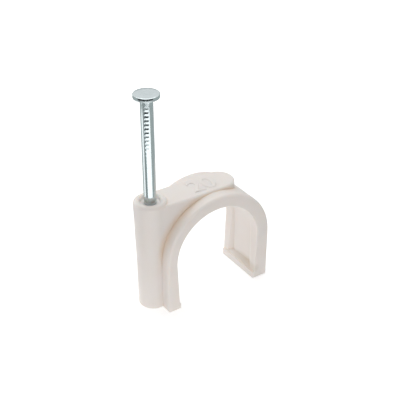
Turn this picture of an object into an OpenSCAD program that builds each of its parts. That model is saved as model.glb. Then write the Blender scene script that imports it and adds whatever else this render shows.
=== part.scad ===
// Nail-in cable clip: a moulded band that holds a round cable against a wall,
// with a boss at one side that carries a wire nail.
// The nail's axis is the Z axis, the wall is the plane z = 0 and the cable runs along Y.

/* [Cable] */
// Diameter of the cable or conduit that the clip holds
cable_d = 20; // [14:0.5:30]
// Gap between the cable and the wall
cable_gap = 1.3; // [0.5:0.1:4]

/* [Band] */
// Thickness of the band over the cable
band_t = 2.6; // [2:0.1:4]
// Shift of the band's outside towards the free leg, which makes that leg the thicker one
band_shift = 0.45; // [0:0.05:0.6]
// Width of the band along the cable
band_w = 11.5; // [9:0.1:20]
// Rounding of the band's outer edges
band_edge_r = 0.6; // [0.2:0.05:1.2]
// Place of the near leg's outer face, measured from the nail's axis
leg_set = 0.35; // [-0.6:0.05:1]
// Inward lean of the legs' inner faces in degrees
leg_lean = 2.5; // [0.5:0.1:4]
// Bevel around the outer edges of the feet
foot_bevel = 0.2; // [0.1:0.05:0.6]

/* [Inner face] */
// Width of the gripping rims along the band's two edges, at the feet
rim_w = 1; // [0.6:0.1:2.5]
// Depth of the shallow pocket between the rims, over the cable
pocket_depth = 0.3; // [0.2:0.05:0.8]
// Width of the slopes at the pocket's sides
pocket_slope = 1.8; // [0.2:0.1:1.9]
// Height over which the pocket's floor slopes out to the lip at each foot
pocket_ramp = 1.2; // [0.3:0.1:2.5]
// Height of the lip at the foot of each leg
lip_h = 1.7; // [1:0.1:3]
// How far each lip stands out from the leg's inner face
lip_out = 0.2; // [0.1:0.05:0.5]

/* [Boss] */
// Diameter of the boss at its foot
boss_d = 6.35; // [5.5:0.05:9]
// Diameter of the boss below its rim
boss_top_d = 6.85; // [6.2:0.05:9]
// Height at which the boss begins to widen
boss_flare_z = 10; // [4:0.5:13]
// Rounding of the boss's rim
boss_rim_r = 0.8; // [0.2:0.05:0.9]
// Rounding of the boss's foot
boss_foot_r = 0.3; // [0.1:0.05:0.8]
// How far the boss's rim stands above the tongue
boss_rise = 0.55; // [0.2:0.05:1.5]
// Diameter of the shallow recess around the nail
mouth_d = 4.4; // [3.4:0.1:4.6]
// Depth of that recess
mouth_depth = 0.7; // [0.3:0.05:1]
// How far the recess's wall slopes in from its top to its floor
mouth_slope = 0.3; // [0.1:0.05:0.4]
// Bevel at the recess's upper edge
mouth_bevel = 0.2; // [0.1:0.05:0.3]

/* [Tongue] */
// Width of the tongue at its top
tongue_w = 6.7; // [5:0.1:9]
// Width of the tongue's web at the height of the cable's axis
web_w = 6.2; // [4:0.1:8]
// Distance that the tongue's rounded end reaches past the band's crown
tongue_reach = 6.6; // [4:0.1:8]
// Height of the tongue's top above the band's crown
tongue_rise = 0.45; // [0.1:0.05:1]
// Rounding of the tongue's top edge
tongue_edge_r = 0.5; // [0.1:0.05:0.6]

/* [Nail] */
// Diameter of the nail's shank
nail_d = 2.5; // [2:0.05:2.8]
// Length of the nail from its head's top to its tip
nail_l = 45; // [40:1:60]
// Height of the nail's tip above the wall, as supplied
nail_tip_z = 2.4; // [1:0.1:5]
// Diameter of the nail's head
head_d = 5.1; // [4.9:0.1:6]
// Height of the head's rim
head_rim_t = 0.75; // [0.4:0.05:0.9]
// Height of the cone under the head
head_cone_t = 0.6; // [0.2:0.05:0.8]
// Bevel around the head's top face
head_bevel = 0.15; // [0.05:0.05:0.3]
// Length of the four-sided point
point_l = 4; // [2.5:0.1:6]
// Radial gap between the nail and its bore
nail_clear = 0.05; // [0.02:0.01:0.1]

/* [Hidden] */
$fn = 96;
// Extra length by which a cut runs past the face it opens
over = 1;
seat_r = cable_d / 2;
seat_z = seat_r + cable_gap;
band_r = seat_r + band_t;
band_x = leg_set + band_r;
seat_x = band_x - band_shift;
crown_z = seat_z + band_r;
foot_half = seat_r / cos(leg_lean) - seat_z * tan(leg_lean);
pocket_in = foot_half - lip_out;
pocket_out = seat_r + pocket_depth;
lip_x = foot_half + lip_h * tan(leg_lean);
tongue_top = crown_z + tongue_rise;
tongue_end_x = band_x + tongue_reach - tongue_w / 2;
boss_h = tongue_top + boss_rise;
boss_r = boss_d / 2;
boss_top_r = boss_top_d / 2;
bore_r = nail_d / 2 + nail_clear;

// A rectangle about the origin with four round corners
module rounded_rectangle(w, h, r) {
  square([w - 2 * r, h], center = true);
  square([w, h - 2 * r], center = true);
  for (sx = [-1, 1], sy = [-1, 1])
    translate([sx * (w / 2 - r), sy * (h / 2 - r)]) circle(r);
}

// An outline drawn in the X-Z plane about the cable's axis, run along Y over width w
module along_cable(w) {
  translate([seat_x, w / 2, 0]) rotate([90, 0, 0]) linear_extrude(w) children();
}

// A square bar along X that bevels the edge it is centred on
module bevel_bar(length, bevel) {
  rotate([45, 0, 0]) cube([length, bevel * sqrt(2), bevel * sqrt(2)], center = true);
}

// The arch and its two legs before the cable's channel is cut
module band_blank() {
  translate([band_x, 0, seat_z])
    rotate([90, 0, 0])
      rotate_extrude(angle = 180)
        intersection() {
          rounded_rectangle(2 * band_r, band_w, band_edge_r);
          translate([0, -band_w]) square([2 * band_r, 2 * band_w]);
        }
  translate([band_x, 0, 0])
    difference() {
      linear_extrude(seat_z) rounded_rectangle(2 * band_r, band_w, band_edge_r);
      for (side = [-1, 1]) {
        translate([0, side * band_w / 2, 0]) bevel_bar(2 * band_r + over, foot_bevel);
        translate([side * band_r, 0, 0]) rotate(90) bevel_bar(band_w + over, foot_bevel);
      }
    }
}

// The channel's outline, open at the wall: the cable's circle with two leaning tangents
module channel_outline() {
  bend_x = seat_r * cos(leg_lean);
  bend_z = seat_z - seat_r * sin(leg_lean);
  translate([0, seat_z]) circle(seat_r);
  polygon([
    [-bend_x, bend_z], [bend_x, bend_z], [foot_half, 0],
    [foot_half, -over], [-foot_half, -over], [-foot_half, 0]
  ]);
}

// The lips that narrow the channel at the wall, with sloping tops
module lip_outlines() {
  for (side = [-1, 1])
    polygon([
      [side * (lip_x + over), -2 * over], [side * pocket_in, -2 * over],
      [side * pocket_in, lip_h - lip_out], [side * lip_x, lip_h], [side * (lip_x + over), lip_h]
    ]);
}

// The pocket's cross-section, at its distance from the cable's axis, with sloping sides
module pocket_section() {
  wide = band_w / 2 - rim_w;
  narrow = wide - pocket_slope;
  polygon([[pocket_in, -wide], [pocket_out, -narrow], [pocket_out, narrow], [pocket_in, wide]]);
}

// The pocket's reach down the legs: a slope from its floor out to each lip
module pocket_reach() {
  low = lip_h - lip_out;
  high = low + pocket_ramp;
  past = pocket_out + over;
  polygon([
    [-past, seat_z + over], [-past, high], [-pocket_out, high], [-pocket_in, low],
    [pocket_in, low], [pocket_out, high], [past, high], [past, seat_z + over]
  ]);
}

// The pocket between the rims: round the arch, and straight down both legs to the lips
module pocket() {
  translate([seat_x, 0, seat_z]) rotate([90, 0, 0]) rotate_extrude(angle = 180) pocket_section();
  intersection() {
    for (side = [0, 1])
      translate([seat_x, 0, 0]) mirror([side, 0, 0]) linear_extrude(seat_z) pocket_section();
    along_cable(band_w) pocket_reach();
  }
}

// The space for the cable: a plain channel, with a pocket between the two rims
module cable_channel() {
  along_cable(band_w + 2 * over)
    difference() {
      channel_outline();
      lip_outlines();
    }
  pocket();
}

// A quarter of a disc in the corner of a turned outline, round towards +X and up or down
module round_corner(x, z, r, up) {
  intersection() {
    translate([x, z]) circle(r);
    translate([x, up ? z : z - r]) square(r);
  }
}

// The boss as a turned shape: straight foot, slight flare, rounded rim
module boss_blank() {
  rim_z = boss_h - boss_rim_r;
  rim_x = boss_top_r - boss_rim_r;
  foot_x = boss_r - boss_foot_r;
  rotate_extrude() {
    polygon([
      [0, 0], [foot_x, 0], [foot_x, boss_foot_r], [boss_r, boss_foot_r],
      [boss_r, boss_flare_z], [boss_top_r, rim_z], [rim_x, rim_z], [rim_x, boss_h], [0, boss_h]
    ]);
    round_corner(foot_x, boss_foot_r, boss_foot_r, false);
    round_corner(rim_x, rim_z, boss_rim_r, true);
  }
}

// One half of the tongue's cross-section over height h: drafted side, round top edge
module tongue_half_section(h) {
  side_x = tongue_w / 2;
  top_x = side_x - tongue_edge_r;
  edge_z = h - tongue_edge_r;
  polygon([[0, 0], [web_w / 2, 0], [side_x, edge_z], [top_x, edge_z], [top_x, h], [0, h]]);
  round_corner(top_x, edge_z, tongue_edge_r, true);
}

// The flat-topped tongue from the boss over the crown, with its web and round end
module tongue() {
  h = tongue_top - seat_z;
  translate([0, 0, seat_z]) {
    rotate([90, 0, 90])
      linear_extrude(tongue_end_x) {
        tongue_half_section(h);
        mirror([1, 0]) tongue_half_section(h);
      }
    translate([tongue_end_x, 0, 0]) rotate_extrude() tongue_half_section(h);
  }
}

// The nail's bore with the recess at its top
module nail_hole() {
  mouth_r = mouth_d / 2;
  translate([0, 0, -over]) cylinder(r = bore_r, h = boss_h + over);
  translate([0, 0, boss_h - mouth_depth])
    cylinder(r1 = mouth_r - mouth_slope, r2 = mouth_r, h = mouth_depth);
  translate([0, 0, boss_h - mouth_bevel])
    cylinder(r1 = mouth_r, r2 = mouth_r + 2 * mouth_bevel, h = 2 * mouth_bevel);
}

module clip_body() {
  color("ivory")
    difference() {
      union() {
        band_blank();
        tongue();
        boss_blank();
      }
      cable_channel();
      nail_hole();
    }
}

// Four flat cuts that leave a square point, with its tip at the origin
module point_cuts() {
  slope = atan(nail_d / 2 / point_l);
  for (turn = [0:90:270])
    rotate([0, slope, turn])
      translate([0, -nail_d, -over]) cube([nail_d, 2 * nail_d, 2 * point_l + over]);
}

module nail() {
  head_r = head_d / 2;
  color("silver")
    translate([0, 0, nail_tip_z])
      difference() {
        rotate_extrude()
          polygon([
            [0, 0], [nail_d / 2, 0], [nail_d / 2, nail_l - head_rim_t - head_cone_t],
            [head_r, nail_l - head_rim_t], [head_r, nail_l - head_bevel],
            [head_r - head_bevel, nail_l], [0, nail_l]
          ]);
        point_cuts();
      }
}

clip_body();
nail();
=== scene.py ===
import math

import bpy
from bpy.props import FloatProperty, FloatVectorProperty, IntProperty, PointerProperty, StringProperty
from bpy.types import Operator, Panel, PropertyGroup
from mathutils import Matrix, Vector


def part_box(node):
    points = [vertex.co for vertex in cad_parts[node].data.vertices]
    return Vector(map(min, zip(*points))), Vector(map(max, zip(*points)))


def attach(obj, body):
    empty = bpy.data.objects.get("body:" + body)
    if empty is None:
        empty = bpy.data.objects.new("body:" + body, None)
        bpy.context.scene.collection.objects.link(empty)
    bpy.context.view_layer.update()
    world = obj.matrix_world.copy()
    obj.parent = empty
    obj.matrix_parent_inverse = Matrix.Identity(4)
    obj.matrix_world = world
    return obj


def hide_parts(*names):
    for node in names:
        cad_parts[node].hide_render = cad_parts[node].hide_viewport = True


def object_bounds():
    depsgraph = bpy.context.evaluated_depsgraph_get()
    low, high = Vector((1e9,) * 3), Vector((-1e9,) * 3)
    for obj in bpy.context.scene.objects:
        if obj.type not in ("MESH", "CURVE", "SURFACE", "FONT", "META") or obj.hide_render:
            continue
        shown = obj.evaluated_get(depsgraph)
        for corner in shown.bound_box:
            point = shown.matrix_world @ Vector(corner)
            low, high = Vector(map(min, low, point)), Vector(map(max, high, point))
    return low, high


bl_info = {
    "name": "Nail-in cable clip",
    "version": (1, 0, 0),
    "blender": (4, 5, 0),
    "location": "View3D > Sidebar > Cable clip",
    "description": "Finishes the moulded clip, its raised size number and its wire nail, and sets the stage",
    "category": "Object",
}

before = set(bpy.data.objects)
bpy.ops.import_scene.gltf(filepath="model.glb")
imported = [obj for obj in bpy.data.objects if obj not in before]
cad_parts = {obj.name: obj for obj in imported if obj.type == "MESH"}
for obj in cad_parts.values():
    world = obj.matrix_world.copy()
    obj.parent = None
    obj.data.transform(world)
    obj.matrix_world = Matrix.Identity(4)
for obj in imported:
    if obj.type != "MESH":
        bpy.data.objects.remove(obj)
CAD_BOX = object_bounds()
NAIL_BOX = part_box("nail")

MM = 0.001

# Plastic: the share of the light that enters it
ENTERING_SHARE = 0.5
# Shares of open surroundings at which the painted crease shade begins and at which it is strongest
CREASE_OPEN, CREASE_CLOSED = 0.95, 0.4
# Heights between which the crease beside the boss gains its painted shade
CREASE_LOW, CREASE_HIGH = 8 * MM, 15 * MM
# Places along X between which a low crease gains the stronger painted shade of the free leg, and how much
# that is
NEAR_LEG_X, FREE_LEG_X = 8 * MM, 12 * MM
FREE_LEG_PAINTED_SHADE = 1.8
# Distances from the nail's axis between which the recess's plastic, kept free of painted shade, ends
RECESS_R, COLLAR_R = 2.4 * MM, 2.9 * MM
# Middle of the painted shade, a brown, at the foot of the free leg's pocket, and how far it reaches along X,
# Y and Z
POCKET_SHADE_PLACE = (22.4 * MM, -2.5 * MM, 2.5 * MM)
POCKET_SHADE_REACH = (1.3 * MM, 6 * MM, 1.5 * MM)

# Digits: the rounding of their edges and its steps, their height as a share of the font's size,
# and their sharpest smooth edge
DIGIT_EDGE = 0.2 * MM
DIGIT_EDGE_STEPS = 4
DIGIT_SHARE = 0.7
DIGIT_SHARP = math.radians(50)

# Nail: faces around it, rings along its parts, the rounding of its neck and its sharpest smooth edge
AROUND = 96
POINT_RINGS = 24
SHANK_RINGS = 8
RINGS_PER_MARK = 10
NECK_R = 0.1 * MM
NAIL_SHARP = math.radians(40)
# Share of a grip mark's width over which it has its full depth
FULL_WIDTH_SHARE = 0.7

# Stage: half the floor's side, and the gap that keeps the floor from showing through the feet
FLOOR_HALF = 3.0
FLOOR_DROP = 0.02 * MM
# Distance from the nail's axis within which the paper's painted glow, which lights the clip's foot, is full
BOUNCE_GLOW_CORE = 8 * MM
# Place and size of each softbox, in metres
SOFTBOXES = {
    "softbox": ((0.08, 0.14, 0.42), 0.35),
    "back_softbox": ((-0.075, 0.33, 0.11), 0.18),
    "front_softbox": ((-0.22, -0.36, 0.2), 0.3),
}
# Cards around the nail: their distance from its axis, and the faces along each
CARD_R = 34 * MM
CARD_FACES = 12
# Upper edges of the cards, named for the parts of the nail that reflect the cards to the camera
SHANK_TOP = 26.9 * MM
MARKS_TOP = 28.9 * MM
GAP_TOP = 29.9 * MM
NECK_TOP = 31.2 * MM
RIM_FOOT_TOP = 31.8 * MM
RIM_LINE_TOP = 41 * MM
CARDS_TOP = 60 * MM


# Colours and nodes

def linear(code):
    """The linear colour of an sRGB hex code."""
    shares = [int(code[i:i + 2], 16) / 255 for i in (0, 2, 4)]
    return tuple(s / 12.92 if s <= 0.04045 else ((s + 0.055) / 1.055) ** 2.4 for s in shares)


def opaque(colour):
    """A colour with the full alpha that a colour socket asks for."""
    return (*colour, 1.0)


def add_node(tree, kind, values=None, links=None, **settings):
    """Adds a node with its settings, its input values and the outputs that its inputs take."""
    node = tree.nodes.new(kind)
    for name, value in settings.items():
        setattr(node, name, value)
    for name, value in (values or {}).items():
        node.inputs[name].default_value = value
    for name, output in (links or {}).items():
        tree.links.new(output, node.inputs[name])
    return node


def new_material(name):
    """An empty node material."""
    material = bpy.data.materials.new(name)
    material.use_nodes = True
    material.node_tree.nodes.clear()
    return material


def per_metre(size_mm):
    """The scale at which a texture's features have this size."""
    return 1 / (size_mm * MM)


def painted_crease_shade(tree, place, reach):
    """Share of the painted crease shade: a darker, warm tint that follows how closed a crease is. Towards the
    wall it runs out beside the boss and grows at the free leg."""
    open_share = add_node(
        tree, "ShaderNodeAmbientOcclusion", {"Distance": reach}, samples=16, only_local=True,
    ).outputs["AO"]
    closed = add_node(
        tree, "ShaderNodeMapRange", {"From Min": CREASE_OPEN, "From Max": CREASE_CLOSED},
        {"Value": open_share},
    ).outputs["Result"]
    spot = add_node(tree, "ShaderNodeSeparateXYZ", links={"Vector": place}).outputs
    low_share = add_node(
        tree, "ShaderNodeMapRange",
        {"From Min": NEAR_LEG_X, "From Max": FREE_LEG_X, "To Max": FREE_LEG_PAINTED_SHADE}, {"Value": spot["X"]},
    ).outputs["Result"]
    share = add_node(
        tree, "ShaderNodeMapRange", {"From Min": CREASE_LOW, "From Max": CREASE_HIGH},
        {"Value": spot["Z"], "To Min": low_share}, interpolation_type="SMOOTHSTEP",
    ).outputs["Result"]
    # The recess around the nail is open to the sky and gets no painted shade.
    flat = add_node(
        tree, "ShaderNodeVectorMath", {1: (1.0, 1.0, 0.0)}, {0: place}, operation="MULTIPLY",
    ).outputs["Vector"]
    from_nail = add_node(tree, "ShaderNodeVectorMath", links={0: flat}, operation="LENGTH").outputs["Value"]
    outside = add_node(
        tree, "ShaderNodeMapRange", {"From Min": RECESS_R, "From Max": COLLAR_R}, {"Value": from_nail},
    ).outputs["Result"]
    creased = add_node(
        tree, "ShaderNodeMath", links={0: closed, 1: share}, operation="MULTIPLY",
    ).outputs["Value"]
    return add_node(
        tree, "ShaderNodeMath", links={0: creased, 1: outside}, operation="MULTIPLY",
    ).outputs["Value"]


def pocket_shade_share(tree, place):
    """Share of the painted shade, a brown, at the foot of the free leg's pocket, which fades out from its
    middle.
    """
    from_middle = add_node(
        tree, "ShaderNodeMapping", {"Location": POCKET_SHADE_PLACE, "Scale": POCKET_SHADE_REACH}, {"Vector": place},
        vector_type="TEXTURE",
    ).outputs["Vector"]
    return add_node(
        tree, "ShaderNodeTexGradient", links={"Vector": from_middle}, gradient_type="SPHERICAL",
    ).outputs["Fac"]


def moulded_polypropylene(look, name, entering):
    """Polypropylene from a spark-eroded mould: a warm off-white that a share of the light enters a little
    way, a soft sheen, a very fine grain and faint clouds where the melt flowed. Its creases and the foot of
    the free leg's pocket get painted shade: a darker, warm colour in place of the shade there and of the
    light that passes from face to face."""
    material = new_material(name)
    tree = material.node_tree
    place = add_node(tree, "ShaderNodeTexCoord").outputs["Object"]
    flow = add_node(
        tree, "ShaderNodeTexNoise", {"Scale": per_metre(5), "Detail": 2.0}, {"Vector": place},
    ).outputs["Fac"]
    # The mould's real grain is under 0.1 mm and is drawn coarser, so that it shows.
    grain = add_node(
        tree, "ShaderNodeTexNoise", {"Scale": per_metre(0.3), "Detail": 3.0}, {"Vector": place},
    ).outputs["Fac"]
    clouded = add_node(
        tree, "ShaderNodeMix",
        {"A": opaque(look.plastic_colour), "B": opaque(look.flow_colour)},
        {"Factor": flow}, data_type="RGBA",
    ).outputs[2]
    # Painted shade: a brown patch at the foot of the free leg's pocket.
    pocket_shaded = add_node(
        tree, "ShaderNodeMix", {"B": opaque(look.pocket_shade_colour)},
        {"Factor": pocket_shade_share(tree, place), "A": clouded}, data_type="RGBA",
    ).outputs[2]
    # Painted shade: the creases turn darker and warmer the more closed they are.
    crease_shaded = add_node(
        tree, "ShaderNodeMix", {"B": opaque(look.crease_shade_colour)},
        {"Factor": painted_crease_shade(tree, place, look.crease_shade_reach), "A": pocket_shaded}, data_type="RGBA",
    ).outputs[2]
    roughness = add_node(
        tree, "ShaderNodeMapRange", {"To Min": 0.38, "To Max": 0.5}, {"Value": grain},
    ).outputs["Result"]
    bump = add_node(
        tree, "ShaderNodeBump", {"Strength": 0.12, "Distance": 0.02 * MM}, {"Height": grain},
    ).outputs["Normal"]
    surface = add_node(
        tree, "ShaderNodeBsdfPrincipled",
        {
            "IOR": 1.49,
            "Subsurface Weight": entering,
            "Subsurface Radius": (1.0, 0.8, 0.65),
            "Subsurface Scale": 1.2 * MM,
        },
        {"Base Color": crease_shaded, "Roughness": roughness, "Normal": bump},
    )
    add_node(tree, "ShaderNodeOutputMaterial", links={"Surface": surface.outputs["BSDF"]})
    return material


def zinc_plated_steel(look):
    """Drawn steel wire with bright zinc: a cool mirror, dulled a little by drawing lines along the wire
    and by the plating's faint clouds."""
    material = new_material("bright_zinc_plated_steel")
    tree = material.node_tree
    place = add_node(tree, "ShaderNodeTexCoord").outputs["Object"]
    along = add_node(
        tree, "ShaderNodeMapping", {"Scale": (1.0, 1.0, 0.02)}, {"Vector": place},
    ).outputs["Vector"]
    # The real drawing lines are a few hundredths of a millimetre apart. They are drawn coarser to show.
    lines = add_node(
        tree, "ShaderNodeTexNoise", {"Scale": per_metre(0.15), "Detail": 2.0}, {"Vector": along},
    ).outputs["Fac"]
    clouds = add_node(
        tree, "ShaderNodeTexNoise", {"Scale": per_metre(1.2), "Detail": 3.0}, {"Vector": place},
    ).outputs["Fac"]
    colour = add_node(
        tree, "ShaderNodeMix",
        {"A": opaque(look.zinc_colour), "B": opaque(look.zinc_cloud_colour)},
        {"Factor": clouds}, data_type="RGBA",
    ).outputs[2]
    roughness = add_node(
        tree, "ShaderNodeMapRange", {"To Min": 0.08, "To Max": 0.2}, {"Value": clouds},
    ).outputs["Result"]
    bump = add_node(
        tree, "ShaderNodeBump", {"Strength": 0.08, "Distance": 0.01 * MM}, {"Height": lines},
    ).outputs["Normal"]
    surface = add_node(
        tree, "ShaderNodeBsdfPrincipled",
        {"Metallic": 1.0},
        {"Base Color": colour, "Roughness": roughness, "Normal": bump},
    )
    add_node(tree, "ShaderNodeOutputMaterial", links={"Surface": surface.outputs["BSDF"]})
    return material


def seen_share(tree):
    """1 where the camera, a reflection or light through something sees it, and 0 where it only lights."""
    rays = add_node(tree, "ShaderNodeLightPath").outputs
    direct = add_node(
        tree, "ShaderNodeMath", links={0: rays["Is Camera Ray"], 1: rays["Is Glossy Ray"]}, operation="ADD",
    ).outputs["Value"]
    return add_node(
        tree, "ShaderNodeMath", links={0: direct, 1: rays["Is Transmission Ray"]},
        operation="ADD", use_clamp=True,
    ).outputs["Value"]


def studio_paper(look):
    """Seamless white paper: matt, with enough light of its own to reach white for the camera outside the
    shadow. Close to the clip it also glows for the rays that light the clip, painted light that brightens
    the clip's foot beyond what the paper bounces."""
    material = new_material("seamless_paper")
    tree = material.node_tree
    place = add_node(tree, "ShaderNodeTexCoord").outputs["Object"]
    away = add_node(tree, "ShaderNodeVectorMath", links={0: place}, operation="LENGTH").outputs["Value"]
    # Painted light: near the clip the paper glows for the rays that light the clip, unseen by the camera.
    bounce = add_node(
        tree, "ShaderNodeMapRange",
        {"From Min": look.bounce_glow_reach, "From Max": BOUNCE_GLOW_CORE, "To Max": look.paper_bounce_glow},
        {"Value": away},
    ).outputs["Result"]
    glow = add_node(
        tree, "ShaderNodeMapRange", {"To Max": look.paper_glow},
        {"Value": seen_share(tree), "To Min": bounce},
    ).outputs["Result"]
    paper = add_node(tree, "ShaderNodeBsdfDiffuse", {"Color": opaque(look.paper_colour)})
    light = add_node(tree, "ShaderNodeEmission", links={"Strength": glow})
    both = add_node(
        tree, "ShaderNodeAddShader", links={0: paper.outputs["BSDF"], 1: light.outputs["Emission"]},
    )
    add_node(tree, "ShaderNodeOutputMaterial", links={"Surface": both.outputs["Shader"]})
    return material


def studio_card(name, colour, strength):
    """A studio card that only reflections see: evenly lit, so the nail shows it as one clear band."""
    material = new_material(name)
    tree = material.node_tree
    light = add_node(tree, "ShaderNodeEmission", {"Color": opaque(colour), "Strength": strength})
    add_node(tree, "ShaderNodeOutputMaterial", links={"Surface": light.outputs["Emission"]})
    return material


# Sizes and colours that a user would change

class ClipLook(PropertyGroup):
    """Colours of the clip, and colours and strengths of what lights and mirrors in it."""

    plastic_colour: FloatVectorProperty(
        name="Plastic", description="Colour of the moulded plastic",
        subtype="COLOR", size=3, min=0, max=1, default=linear("EFE9E5"),
    )
    flow_colour: FloatVectorProperty(
        name="Flow clouds", description="Colour of the faint clouds in the plastic",
        subtype="COLOR", size=3, min=0, max=1, default=linear("EBE4DE"),
    )
    # Painted shade in the plastic's creases
    crease_shade_colour: FloatVectorProperty(
        name="Creases", description="Colour of the plastic in its creases",
        subtype="COLOR", size=3, min=0, max=1, default=linear("EAD7C2"),
    )
    # Painted shade at the foot of the free leg's pocket
    pocket_shade_colour: FloatVectorProperty(
        name="Pocket's foot", description="Colour of the plastic at the foot of the free leg's pocket",
        subtype="COLOR", size=3, min=0, max=1, default=linear("D6CCBF"),
    )
    # Reach of the painted crease shade
    crease_shade_reach: FloatProperty(
        name="Crease reach", description="How far a face warms the face beside it",
        unit="LENGTH", default=2 * MM, min=0.1 * MM, max=5 * MM,
    )
    zinc_colour: FloatVectorProperty(
        name="Zinc", description="Colour of the nail's bright zinc",
        subtype="COLOR", size=3, min=0, max=1, default=linear("D0D8DA"),
    )
    zinc_cloud_colour: FloatVectorProperty(
        name="Zinc clouds", description="Colour of the faint clouds in the zinc",
        subtype="COLOR", size=3, min=0, max=1, default=linear("C2CCCE"),
    )
    paper_colour: FloatVectorProperty(
        name="Paper", description="Colour of the floor",
        subtype="COLOR", size=3, min=0, max=1, default=linear("F4F4F4"),
    )
    paper_glow: FloatProperty(
        name="Paper glow", description="Light that the floor adds where the camera or a reflection sees it",
        subtype="FACTOR", min=0, max=1, default=0.42,
    )
    # Painted light: the paper's glow near the clip, which lights the clip's foot
    paper_bounce_glow: FloatProperty(
        name="Paper bounce", description="Light that the floor throws back onto the clip close to its foot",
        subtype="FACTOR", min=0, max=2, default=0.37,
    )
    bounce_glow_reach: FloatProperty(
        name="Bounce reach", description="Distance from the nail's axis at which the floor's bounce ends",
        unit="LENGTH", min=10 * MM, max=200 * MM, default=35 * MM,
    )
    grey_card: FloatVectorProperty(
        name="Grey cards", description="Colour of the grey cards that the nail reflects",
        subtype="COLOR", size=3, min=0, max=1, default=linear("BCC3C2"),
    )
    dark_card: FloatVectorProperty(
        name="Dark cards", description="Colour of the cards for the dark line along the head's rim",
        subtype="COLOR", size=3, min=0, max=1, default=linear("2C3032"),
    )
    shade_card: FloatVectorProperty(
        name="Shaded cards", description="Colour of the cards for the nail's neck, marks and shaded bands",
        subtype="COLOR", size=3, min=0, max=1, default=linear("A4ABAA"),
    )
    pale_card: FloatProperty(
        name="Pale card", description="Strength of the card that gives the narrow gloss at the nail's side",
        subtype="FACTOR", min=0, max=3, default=1.45,
    )
    white_card: FloatProperty(
        name="White cards", description="Strength of the white cards that the nail reflects",
        subtype="FACTOR", min=0, max=3, default=1.7,
    )


class SizeMark(PropertyGroup):
    """The raised size number on the tongue."""

    text: StringProperty(
        name="Number", description="Cable diameter in millimetres, as a plain number", default="20",
    )
    height: FloatProperty(
        name="Digit height", description="Height of the digits across the tongue",
        unit="LENGTH", default=4.3 * MM, min=1 * MM, max=6 * MM,
    )
    rise: FloatProperty(
        name="Rise", description="How far the digits stand above the tongue",
        unit="LENGTH", default=0.12 * MM, min=0.05 * MM, max=0.4 * MM,
    )
    stroke: FloatProperty(
        name="Stroke", description="How much the digits' strokes are thickened on each side",
        unit="LENGTH", default=0.1 * MM, min=0, max=0.3 * MM,
    )
    along: FloatProperty(
        name="Place", description="Place of the number's middle along the tongue, from the nail's axis",
        unit="LENGTH", default=12 * MM, min=6 * MM, max=16 * MM,
    )
    tongue_top: FloatProperty(
        name="Tongue's top", description="Height of the tongue's top above the wall",
        unit="LENGTH", default=24.35 * MM, min=15 * MM, max=40 * MM,
    )


class NailSizes(PropertyGroup):
    """Sizes of the wire nail, in the place of the solid nail."""

    shank: FloatProperty(
        name="Shank", description="Diameter of the nail's shank",
        unit="LENGTH", default=2.5 * MM, min=1 * MM, max=4 * MM,
    )
    rim: FloatProperty(
        name="Head rim", description="Height of the head's rim",
        unit="LENGTH", default=0.75 * MM, min=0.3 * MM, max=1.5 * MM,
    )
    cone: FloatProperty(
        name="Head cone", description="Height of the cone under the head",
        unit="LENGTH", default=0.6 * MM, min=0.2 * MM, max=1 * MM,
    )
    edge: FloatProperty(
        name="Head edge", description="Rounding of the head's edges",
        unit="LENGTH", default=0.14 * MM, min=0.05 * MM, max=0.25 * MM,
    )
    point: FloatProperty(
        name="Point", description="Length of the four-sided point",
        unit="LENGTH", default=4 * MM, min=2 * MM, max=6 * MM,
    )
    marks: IntProperty(
        name="Grip marks", description="Number of grip marks on a side",
        subtype="UNSIGNED", default=16, min=0, max=30,
    )
    pitch: FloatProperty(
        name="Mark pitch", description="Distance from one grip mark to the next",
        unit="LENGTH", default=0.82 * MM, min=0.3 * MM, max=1.5 * MM,
    )
    mark_depth: FloatProperty(
        name="Mark depth", description="Depth of the grip marks",
        unit="LENGTH", default=0.1 * MM, min=0.0, max=0.15 * MM,
    )
    mark_lead: IntProperty(
        name="Leading marks", description="Number of grip marks, from the head, over which their depth grows",
        subtype="UNSIGNED", default=4, min=1, max=10,
    )
    mark_half_width: FloatProperty(
        name="Mark half width", description="Half the width of the grip marks across the shank",
        unit="LENGTH", default=0.46 * MM, min=0.2 * MM, max=1 * MM,
    )
    mark_start: FloatProperty(
        name="First mark", description="Distance of the first grip mark below the head's top",
        unit="LENGTH", default=1.95 * MM, min=1 * MM, max=10 * MM,
    )
    mark_side: FloatProperty(
        name="Mark side", description="Direction that the grip marks face, about the nail's axis",
        subtype="ANGLE", default=math.radians(-126), min=-math.pi, max=math.pi,
    )


class StageSizes(PropertyGroup):
    """Camera and lamps."""

    camera_place: FloatVectorProperty(
        name="Camera", description="Place of the camera",
        subtype="TRANSLATION", size=3, default=(-67.18 * MM, -118.08 * MM, 108.09 * MM),
    )
    camera_turn: FloatProperty(
        name="Camera turn", description="Direction of the camera about the vertical",
        subtype="ANGLE", default=math.radians(-33.75),
    )
    camera_tilt: FloatProperty(
        name="Camera tilt", description="Angle by which the camera looks down",
        subtype="ANGLE", default=math.radians(31.60),
    )
    lens: FloatProperty(
        name="Lens", description="Focal length on a 36 mm sensor",
        unit="CAMERA", default=73.27, min=20, max=200,
    )
    sky: FloatProperty(
        name="Sky", description="Strength of the even light from all round",
        subtype="FACTOR", default=0.49, min=0, max=2,
    )
    key: FloatProperty(
        name="Softbox", description="Power of the large softbox above and behind",
        unit="POWER", default=0.77, min=0, max=20,
    )
    back: FloatProperty(
        name="Back softbox", description="Power of the low softbox behind the boss",
        unit="POWER", default=0.25, min=0, max=20,
    )
    front: FloatProperty(
        name="Front softbox", description="Power of the softbox beside the camera",
        unit="POWER", default=0.24, min=0, max=20,
    )


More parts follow.
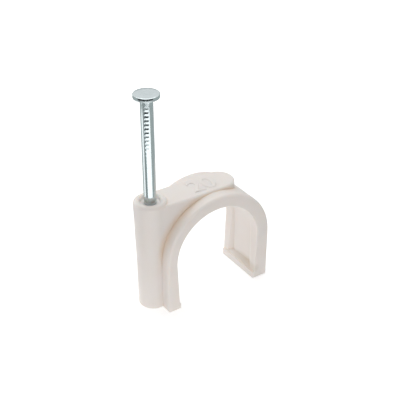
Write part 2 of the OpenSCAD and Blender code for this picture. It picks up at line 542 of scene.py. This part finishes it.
class CableClip(PropertyGroup):
    """All settings of the clip."""

    look: PointerProperty(type=ClipLook, name="Look", description="Colours, paper and cards")
    mark: PointerProperty(type=SizeMark, name="Size number", description="The raised number on the tongue")
    nail: PointerProperty(type=NailSizes, name="Nail", description="Sizes of the wire nail")
    stage: PointerProperty(type=StageSizes, name="Stage", description="Camera and lamps")


# Meshes

def new_piece(name, mesh):
    """A new object at the origin with this mesh."""
    piece = bpy.data.objects.new(name, mesh)
    bpy.context.scene.collection.objects.link(piece)
    return piece


def frozen(piece):
    """The piece's evaluated shape as a plain mesh."""
    graph = bpy.context.evaluated_depsgraph_get()
    graph.update()
    return bpy.data.meshes.new_from_object(piece.evaluated_get(graph))


def shade_smooth(mesh, sharp_angle):
    """Smooth shading that keeps the edges sharper than an angle."""
    mesh.polygons.foreach_set("use_smooth", [True] * len(mesh.polygons))
    mesh.set_sharp_from_angle(angle=sharp_angle)


def arc(centre, radius, start, end, steps):
    """Points of an arc in the plane of radius and height, with angles in degrees from outwards to up."""
    turns = [math.radians(start + (end - start) * i / steps) for i in range(steps + 1)]
    return [(centre[0] + radius * math.cos(t), centre[1] + radius * math.sin(t)) for t in turns]


def nail_profile(nail, tip, top, head_r):
    """Radius and height of each ring of the nail, from just above its tip to near the head's middle."""
    shank_r = nail.shank / 2
    rim_base = top - nail.rim
    cone_base = rim_base - nail.cone
    point_top = tip + nail.point
    marks_top = top - nail.mark_start
    marks_end = marks_top - nail.pitch * nail.marks
    fine = nail.marks * RINGS_PER_MARK
    rings = [(shank_r, tip + nail.point * i / POINT_RINGS) for i in range(1, POINT_RINGS + 1)]
    rings += [(shank_r, point_top + (marks_end - point_top) * i / SHANK_RINGS) for i in range(1, SHANK_RINGS)]
    rings += [(shank_r, marks_end + (marks_top - marks_end) * i / fine) for i in range(fine + 1)]
    # The neck curves into the cone and the cone into the rim.
    slope = math.atan2(nail.cone, head_r - shank_r)
    half_bend = math.tan((math.pi / 2 - slope) / 2)
    face_r = head_r - nail.edge
    neck_middle = (shank_r + NECK_R, cone_base - NECK_R * half_bend)
    lower_middle = (face_r, rim_base + nail.edge * half_bend)
    rings += arc(neck_middle, NECK_R, 180, 90 + math.degrees(slope), steps=8)
    rings += arc(lower_middle, nail.edge, math.degrees(slope) - 90, 0, steps=6)
    rings += arc((face_r, top - nail.edge), nail.edge, 0, 90, steps=8)
    rings += [(face_r * share, top) for share in (0.75, 0.5, 0.25)]
    return rings


def nail_mesh(nail, tip, top, head_r):
    """The plain nail: a turned shape whose end is cut by four flats to a square point."""
    rings = nail_profile(nail, tip, top, head_r)
    flat = nail.shank / 2 / nail.point
    vertices = [(0.0, 0.0, tip)]
    for radius, height in rings:
        half = flat * (height - tip)
        for i in range(AROUND):
            turn = 2 * math.pi * i / AROUND
            c, s = math.cos(turn), math.sin(turn)
            r = min(radius, half / max(abs(c), abs(s))) if height < tip + nail.point else radius
            vertices.append((r * c, r * s, height))
    vertices.append((0.0, 0.0, top))
    last = len(vertices) - 1
    faces = [(0, 1 + (i + 1) % AROUND, 1 + i) for i in range(AROUND)]
    for k in range(len(rings) - 1):
        low, high = 1 + k * AROUND, 1 + (k + 1) * AROUND
        for i in range(AROUND):
            j = (i + 1) % AROUND
            faces.append((low + i, low + j, high + j, high + i))
    ring = 1 + (len(rings) - 1) * AROUND
    faces += [(ring + i, ring + (i + 1) % AROUND, last) for i in range(AROUND)]
    mesh = bpy.data.meshes.new("wire_nail")
    mesh.from_pydata(vertices, [], faces)
    mesh.validate()
    return mesh


def grip_mark_tree():
    """Geometry nodes that press a row of grip marks into two opposite sides of the shank. The marks deepen
    over the first few and then fade downwards."""
    tree = bpy.data.node_groups.new("grip_marks", "GeometryNodeTree")
    for name, kind in (
        ("Geometry", "NodeSocketGeometry"), ("First mark", "NodeSocketFloat"), ("Pitch", "NodeSocketFloat"),
        ("Marks", "NodeSocketFloat"), ("Depth", "NodeSocketFloat"), ("Half width", "NodeSocketFloat"),
        ("Lead", "NodeSocketFloat"), ("Side", "NodeSocketVector"), ("Material", "NodeSocketMaterial"),
    ):
        tree.interface.new_socket(name=name, in_out="INPUT", socket_type=kind)
    tree.interface.new_socket(name="Geometry", in_out="OUTPUT", socket_type="NodeSocketGeometry")
    sizes = add_node(tree, "NodeGroupInput").outputs
    place = add_node(tree, "GeometryNodeInputPosition").outputs["Position"]
    height = add_node(tree, "ShaderNodeSeparateXYZ", links={"Vector": place}).outputs["Z"]
    towards = add_node(
        tree, "ShaderNodeVectorMath", links={0: place, 1: sizes["Side"]}, operation="DOT_PRODUCT",
    ).outputs["Value"]
    across_way = add_node(
        tree, "ShaderNodeVectorMath", {1: (0.0, 0.0, 1.0)}, {0: sizes["Side"]}, operation="CROSS_PRODUCT",
    ).outputs["Vector"]
    across = add_node(
        tree, "ShaderNodeVectorMath", links={0: place, 1: across_way}, operation="DOT_PRODUCT",
    ).outputs["Value"]
    aside = add_node(tree, "ShaderNodeMath", links={0: across}, operation="ABSOLUTE").outputs["Value"]
    full_width = add_node(
        tree, "ShaderNodeMath", {1: FULL_WIDTH_SHARE}, {0: sizes["Half width"]}, operation="MULTIPLY",
    ).outputs["Value"]
    window = add_node(
        tree, "ShaderNodeMapRange",
        links={"Value": aside, "From Min": sizes["Half width"], "From Max": full_width},
        interpolation_type="SMOOTHSTEP",
    ).outputs["Result"]
    # The row counts the marks downwards from the first one.
    drop = add_node(
        tree, "ShaderNodeMath", links={0: sizes["First mark"], 1: height}, operation="SUBTRACT",
    ).outputs["Value"]
    row = add_node(
        tree, "ShaderNodeMath", links={0: drop, 1: sizes["Pitch"]}, operation="DIVIDE",
    ).outputs["Value"]
    turn = add_node(tree, "ShaderNodeMath", {1: 2 * math.pi}, {0: row}, operation="MULTIPLY").outputs["Value"]
    wave = add_node(tree, "ShaderNodeMath", links={0: turn}, operation="COSINE").outputs["Value"]
    groove = add_node(
        tree, "ShaderNodeMapRange", {"From Min": 1.0, "From Max": -1.0}, {"Value": wave},
    ).outputs["Result"]
    begun = add_node(
        tree, "ShaderNodeMapRange", links={"Value": row, "From Max": sizes["Lead"]},
    ).outputs["Result"]
    fade = add_node(
        tree, "ShaderNodeMapRange", {"To Min": 1.0, "To Max": 0.0},
        {"Value": row, "From Max": sizes["Marks"]},
    ).outputs["Result"]
    # Every share, and the way inwards on either side, scales the push along the side's direction.
    inwards = add_node(tree, "ShaderNodeMath", links={0: towards}, operation="SIGN").outputs["Value"]
    push = add_node(tree, "ShaderNodeMath", {1: -1.0}, {0: inwards}, operation="MULTIPLY").outputs["Value"]
    for share in (window, groove, begun, fade, sizes["Depth"]):
        push = add_node(
            tree, "ShaderNodeMath", links={0: push, 1: share}, operation="MULTIPLY",
        ).outputs["Value"]
    offset = add_node(
        tree, "ShaderNodeVectorMath", links={0: sizes["Side"], "Scale": push}, operation="SCALE",
    ).outputs["Vector"]
    pressed = add_node(
        tree, "GeometryNodeSetPosition", links={"Geometry": sizes["Geometry"], "Offset": offset},
    ).outputs["Geometry"]
    real = add_node(tree, "GeometryNodeRealizeInstances", links={"Geometry": pressed}).outputs["Geometry"]
    finished = add_node(
        tree, "GeometryNodeSetMaterial", links={"Geometry": real, "Material": sizes["Material"]},
    ).outputs["Geometry"]
    add_node(tree, "NodeGroupOutput", links={"Geometry": finished})
    return tree


def set_inputs(modifier, values):
    """Sets a geometry nodes modifier's inputs by the identifiers of their sockets."""
    for item in modifier.node_group.interface.items_tree:
        if item.in_out == "INPUT" and item.name in values:
            modifier[item.identifier] = values[item.name]


# Stage

def lay_floor(look):
    """Lays the paper under the feet."""
    corners = [(x * FLOOR_HALF, y * FLOOR_HALF, 0) for x, y in ((-1, -1), (1, -1), (1, 1), (-1, 1))]
    paper = bpy.data.meshes.new("floor")
    paper.from_pydata(corners, [], [(0, 1, 2, 3)])
    paper.transform(Matrix.Translation((0, 0, CAD_BOX[0].z - FLOOR_DROP)))
    paper.materials.append(studio_paper(look))
    new_piece("floor", paper)


def light_sky(scene, strength):
    """Lights the stage evenly from all round. Where the sky is seen, it is white."""
    world = bpy.data.worlds.new("studio")
    scene.world = world
    world.use_nodes = True
    tree = world.node_tree
    tree.nodes.clear()
    seen = add_node(
        tree, "ShaderNodeMapRange", {"To Min": strength, "To Max": 1.0}, {"Value": seen_share(tree)},
    ).outputs["Result"]
    sky = add_node(tree, "ShaderNodeBackground", {"Color": (1.0, 1.0, 1.0, 1.0)}, {"Strength": seen})
    add_node(tree, "ShaderNodeOutputWorld", links={"Surface": sky.outputs["Background"]})


def place_softboxes(scene, stage):
    """Places the softboxes and turns them to the clip's middle."""
    centre = (CAD_BOX[0] + CAD_BOX[1]) / 2
    for name, power in (
        ("softbox", stage.key), ("back_softbox", stage.back), ("front_softbox", stage.front),
    ):
        place, size = SOFTBOXES[name]
        lamp = bpy.data.lights.new(name, "AREA")
        lamp.energy = power
        lamp.size = size
        softbox = bpy.data.objects.new(name, lamp)
        softbox.location = place
        softbox.rotation_euler = (centre - softbox.location).to_track_quat("-Z", "Y").to_euler()
        scene.collection.objects.link(softbox)


def card_mesh(name, facing, start, end, low, high):
    """A curved card around the nail between two angles, counted in degrees from a facing direction."""
    points = []
    for i in range(CARD_FACES + 1):
        turn = facing + math.radians(start + (end - start) * i / CARD_FACES)
        points += [(CARD_R * math.cos(turn), CARD_R * math.sin(turn), z) for z in (low, high)]
    mesh = bpy.data.meshes.new(name)
    mesh.from_pydata(points, [], [(2 * i, 2 * i + 2, 2 * i + 3, 2 * i + 1) for i in range(CARD_FACES)])
    return mesh


def place_cards(look, facing):
    """Stands cards around the nail that only reflections see. Each gives the nail one band, between two
    angles in degrees from the camera's side and two heights."""
    white = studio_card("white_card", (1.0, 1.0, 1.0), look.white_card)
    pale = studio_card("pale_card", (1.0, 1.0, 1.0), look.pale_card)
    grey = studio_card("grey_card", look.grey_card, 1.0)
    shade = studio_card("shade_card", look.shade_card, 1.0)
    dark = studio_card("dark_card", look.dark_card, 1.0)
    for name, card, start, end, low, high in (
        ("card_shank", white, -35, 48, 0, SHANK_TOP),
        ("card_right", grey, 48, 180, 0, MARKS_TOP),
        ("card_left", shade, -76, -35, 0, MARKS_TOP),
        ("card_left_pale", pale, -112, -76, 0, MARKS_TOP),
        ("card_back", grey, -180, -112, 0, MARKS_TOP),
        ("card_marks", shade, -35, 20, SHANK_TOP, MARKS_TOP),
        ("card_marks_right", white, 20, 48, SHANK_TOP, MARKS_TOP),
        ("card_gap_left", shade, -72, -20, MARKS_TOP, GAP_TOP),
        ("card_gap", white, -20, 30, MARKS_TOP, GAP_TOP),
        ("card_gap_right", grey, 30, 52, MARKS_TOP, GAP_TOP),
        ("card_neck", shade, -72, 52, GAP_TOP, NECK_TOP),
        ("card_rim", white, -72, 52, NECK_TOP, RIM_FOOT_TOP),
        ("card_rim_left", dark, -72, -36, RIM_FOOT_TOP, CARDS_TOP),
        ("card_rim_middle", dark, -36, 22, RIM_FOOT_TOP, RIM_LINE_TOP),
        ("card_rim_right", dark, 22, 52, RIM_FOOT_TOP, CARDS_TOP),
        ("card_top", shade, -36, 22, RIM_LINE_TOP, CARDS_TOP),
        ("card_top_left", grey, -180, -72, MARKS_TOP, CARDS_TOP),
        ("card_top_right", grey, 52, 180, MARKS_TOP, CARDS_TOP),
    ):
        mesh = card_mesh(name, facing, start, end, low, high)
        mesh.materials.append(card)
        panel = new_piece(name, mesh)
        for kind in ("camera", "diffuse", "shadow", "transmission", "volume_scatter"):
            setattr(panel, "visible_" + kind, False)


def place_camera(scene, stage):
    """Places the camera where the photo was taken from."""
    lens = bpy.data.cameras.new("camera")
    lens.sensor_width = 36
    lens.lens = stage.lens
    lens.clip_start = 0.01
    lens.clip_end = 20
    camera = bpy.data.objects.new("camera", lens)
    camera.location = stage.camera_place
    camera.rotation_euler = (math.pi / 2 - stage.camera_tilt, 0, stage.camera_turn)
    scene.collection.objects.link(camera)
    scene.camera = camera


# Operators

class CLIP_OT_moulding(Operator):
    """Give the moulded clip its plastic"""

    bl_idname = "cable_clip.moulding"
    bl_label = "Moulded clip"

    def execute(self, context):
        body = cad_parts["clip_body"]
        body.data.materials.clear()
        look = context.scene.cable_clip.look
        body.data.materials.append(moulded_polypropylene(look, "moulded_polypropylene", ENTERING_SHARE))
        return {"FINISHED"}


class CLIP_OT_size_mark(Operator):
    """Raise the size number on the tongue"""

    bl_idname = "cable_clip.size_mark"
    bl_label = "Size number"

    def execute(self, context):
        settings = context.scene.cable_clip
        mark = settings.mark
        sunk = 2 * DIGIT_EDGE
        text = bpy.data.curves.new("size_mark", "FONT")
        text.body = mark.text
        text.size = mark.height / DIGIT_SHARE
        text.align_x = "CENTER"
        text.align_y = "CENTER"
        text.extrude = (mark.rise + sunk) / 2 - DIGIT_EDGE
        text.bevel_depth = DIGIT_EDGE
        text.bevel_resolution = DIGIT_EDGE_STEPS
        text.offset = mark.stroke - DIGIT_EDGE
        draft = new_piece("size_mark_text", text)
        mesh = frozen(draft)
        bpy.data.objects.remove(draft)
        mesh.name = "size_mark"
        low = min(v.co.y for v in mesh.vertices)
        high = max(v.co.y for v in mesh.vertices)
        middle = mark.tongue_top + (mark.rise - sunk) / 2
        mesh.transform(Matrix.Translation((mark.along, -(low + high) / 2, middle)))
        shade_smooth(mesh, DIGIT_SHARP)
        mesh.materials.clear()
        # Light that entered the thin digits would be lost in the tongue under them.
        mesh.materials.append(moulded_polypropylene(settings.look, "moulded_polypropylene_digits", 0.0))
        piece = new_piece("size_mark", mesh)
        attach(piece, "clip")
        return {"FINISHED"}


class CLIP_OT_wire_nail(Operator):
    """Make the wire nail with its grip marks"""

    bl_idname = "cable_clip.wire_nail"
    bl_label = "Wire nail"

    def execute(self, context):
        settings = context.scene.cable_clip
        nail = settings.nail
        low, high = NAIL_BOX
        mesh = nail_mesh(nail, low.z, high.z, high.x)
        zinc = zinc_plated_steel(settings.look)
        mesh.materials.append(zinc)
        piece = new_piece("wire_nail", mesh)
        modifier = piece.modifiers.new("grip_marks", "NODES")
        modifier.node_group = grip_mark_tree()
        set_inputs(modifier, {
            "First mark": high.z - nail.mark_start, "Pitch": nail.pitch, "Marks": float(nail.marks),
            "Depth": nail.mark_depth, "Half width": nail.mark_half_width, "Lead": float(nail.mark_lead),
            "Side": (math.cos(nail.mark_side), math.sin(nail.mark_side), 0.0), "Material": zinc,
        })
        marked = frozen(piece)
        piece.modifiers.remove(modifier)
        marked.name = "wire_nail_marked"
        piece.data = marked
        shade_smooth(marked, NAIL_SHARP)
        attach(piece, "nail")
        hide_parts("nail")
        return {"FINISHED"}


class CLIP_OT_stage(Operator):
    """Set the floor, the lamps, the cards and the camera"""

    bl_idname = "cable_clip.stage"
    bl_label = "Stage"

    def execute(self, context):
        scene = context.scene
        look = scene.cable_clip.look
        stage = scene.cable_clip.stage
        scene.view_settings.view_transform = "Standard"
        lay_floor(look)
        light_sky(scene, stage.sky)
        place_softboxes(scene, stage)
        place_cards(look, math.atan2(stage.camera_place.y, stage.camera_place.x))
        place_camera(scene, stage)
        return {"FINISHED"}


class CLIP_PT_sidebar(Panel):
    """The clip's settings and operators"""

    bl_label = "Cable clip"
    bl_idname = "CLIP_PT_sidebar"
    bl_space_type = "VIEW_3D"
    bl_region_type = "UI"
    bl_category = "Cable clip"

    def draw(self, context):
        settings = context.scene.cable_clip
        for operator, group in (
            (CLIP_OT_moulding, settings.look), (CLIP_OT_size_mark, settings.mark),
            (CLIP_OT_wire_nail, settings.nail), (CLIP_OT_stage, settings.stage),
        ):
            box = self.layout.box()
            for name in group.__annotations__:
                box.prop(group, name)
            box.operator(operator.bl_idname)


CLASSES = (
    ClipLook, SizeMark, NailSizes, StageSizes, CableClip,
    CLIP_OT_moulding, CLIP_OT_size_mark, CLIP_OT_wire_nail, CLIP_OT_stage, CLIP_PT_sidebar,
)


def register():
    for cls in CLASSES:
        bpy.utils.register_class(cls)
    bpy.types.Scene.cable_clip = PointerProperty(type=CableClip)


def unregister():
    del bpy.types.Scene.cable_clip
    for cls in reversed(CLASSES):
        bpy.utils.unregister_class(cls)


def main():
    register()
    bpy.ops.cable_clip.moulding()
    bpy.ops.cable_clip.size_mark()
    bpy.ops.cable_clip.wire_nail()
    bpy.ops.cable_clip.stage()


if __name__ == "__main__":
    main()
